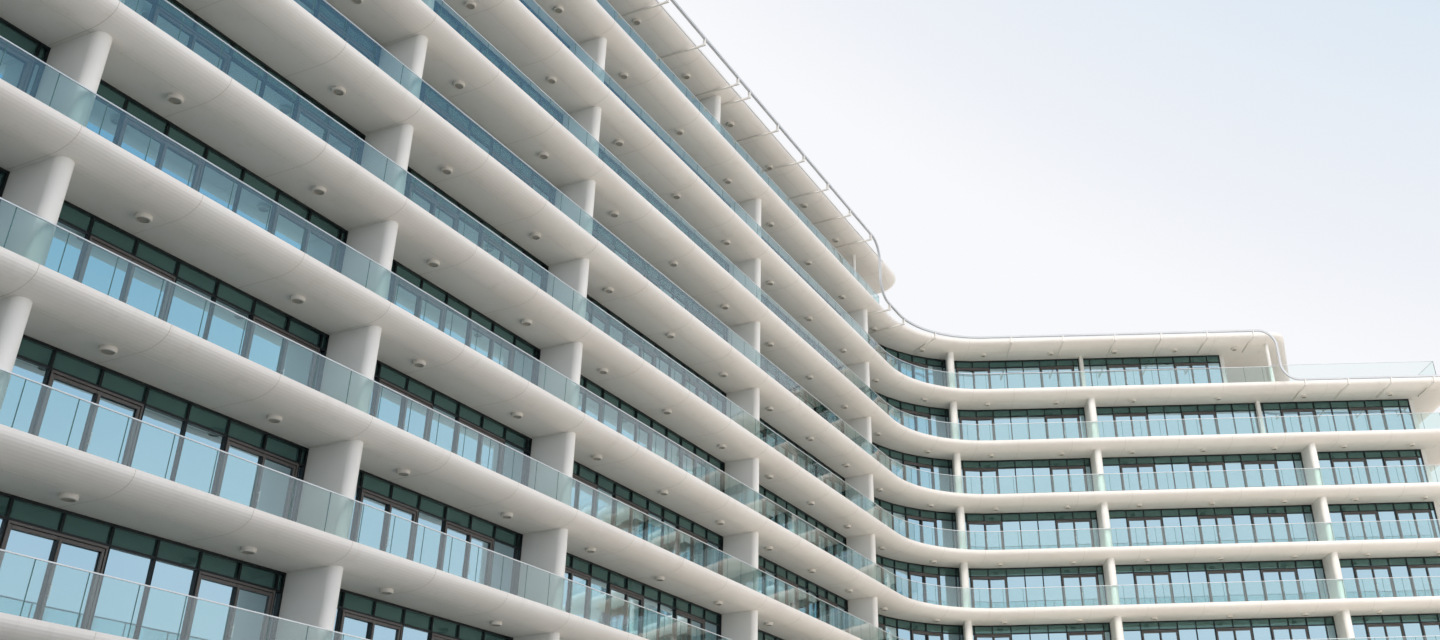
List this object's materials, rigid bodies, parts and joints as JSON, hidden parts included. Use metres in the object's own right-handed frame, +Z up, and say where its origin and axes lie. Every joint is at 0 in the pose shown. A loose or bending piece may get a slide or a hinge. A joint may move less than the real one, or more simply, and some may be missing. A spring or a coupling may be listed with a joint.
{
  "type": "apartment block, 1:2 scale model",
  "caption": "White apartment block of two wings joined by a concave curve, with rounded balcony slabs, glass balustrades, fin walls and stepped roofs, at half scale.",
  "frame": {"origin": "on the ground inside the block, on the right wing's centre line, level with the corner where the two fascia lines meet", "axes": "+X along the right wing away from the corner, +Y from its courtyard front to its rear, +Z up"},
  "size_m": [36.6453, 36.2412, 19.25],
  "materials": {
    "white_slab": "matt painted fair-faced concrete",
    "white_wall": "matt painted render",
    "base_concrete": "matt concrete",
    "window_glass": "polished tinted float glass",
    "balustrade_glass": "polished laminated glass",
    "stainless": "brushed",
    "rail_steel": "satin grey paint",
    "cream_steel": "satin cream paint"
  },
  "bodies": {
    "root": {"floor_slab_1": "white_slab", "floor_slab_2": "white_slab", "floor_slab_3": "white_slab", "floor_slab_4": "white_slab", "floor_slab_5": "white_slab", "floor_slab_6": "white_slab", "floor_slab_7": "white_slab", "floor_slab_8": "white_slab", "floor_slab_9": "white_slab", "floor_slab_10": "white_slab", "roof_slab": "white_slab", "ground_slab": "base_concrete", "window_glass_1": "window_glass", "window_glass_2": "window_glass", "window_glass_3": "window_glass", "window_glass_4": "window_glass", "window_glass_5": "window_glass", "window_glass_6": "window_glass", "window_glass_7": "window_glass", "window_glass_8": "window_glass", "window_glass_9": "window_glass", "window_glass_10": "window_glass", "window_glass_11": "window_glass", "balustrade_1": "balustrade_glass", "balustrade_2": "balustrade_glass", "balustrade_3": "balustrade_glass", "balustrade_4": "balustrade_glass", "balustrade_5": "balustrade_glass", "balustrade_6": "balustrade_glass", "balustrade_7": "balustrade_glass", "balustrade_8": "balustrade_glass", "balustrade_9": "balustrade_glass", "balustrade_10": "balustrade_glass", "terrace_balustrade": "balustrade_glass", "fin_wall_a": "white_wall", "fin_wall_b": "white_wall", "fin_wall_c": "white_wall", "fin_wall_d": "white_wall", "fin_wall_e": "white_wall", "fin_wall_f": "white_wall", "fin_wall_g": "white_wall", "fin_wall_h": "white_wall", "top_fin_walls": "white_wall", "corner_posts": "white_wall", "left_end_wall": "white_wall", "right_end_wall": "white_wall", "top_end_wall": "white_wall", "penthouse_end_wall": "white_wall", "rear_wall": "white_wall", "rear_wall_upper": "white_wall", "rear_wall_top": "white_wall", "rear_glass": "window_glass", "cap_rails": "stainless", "roof_rail": "rail_steel", "rail_brackets": "cream_steel"}
  },
  "joints": []
}
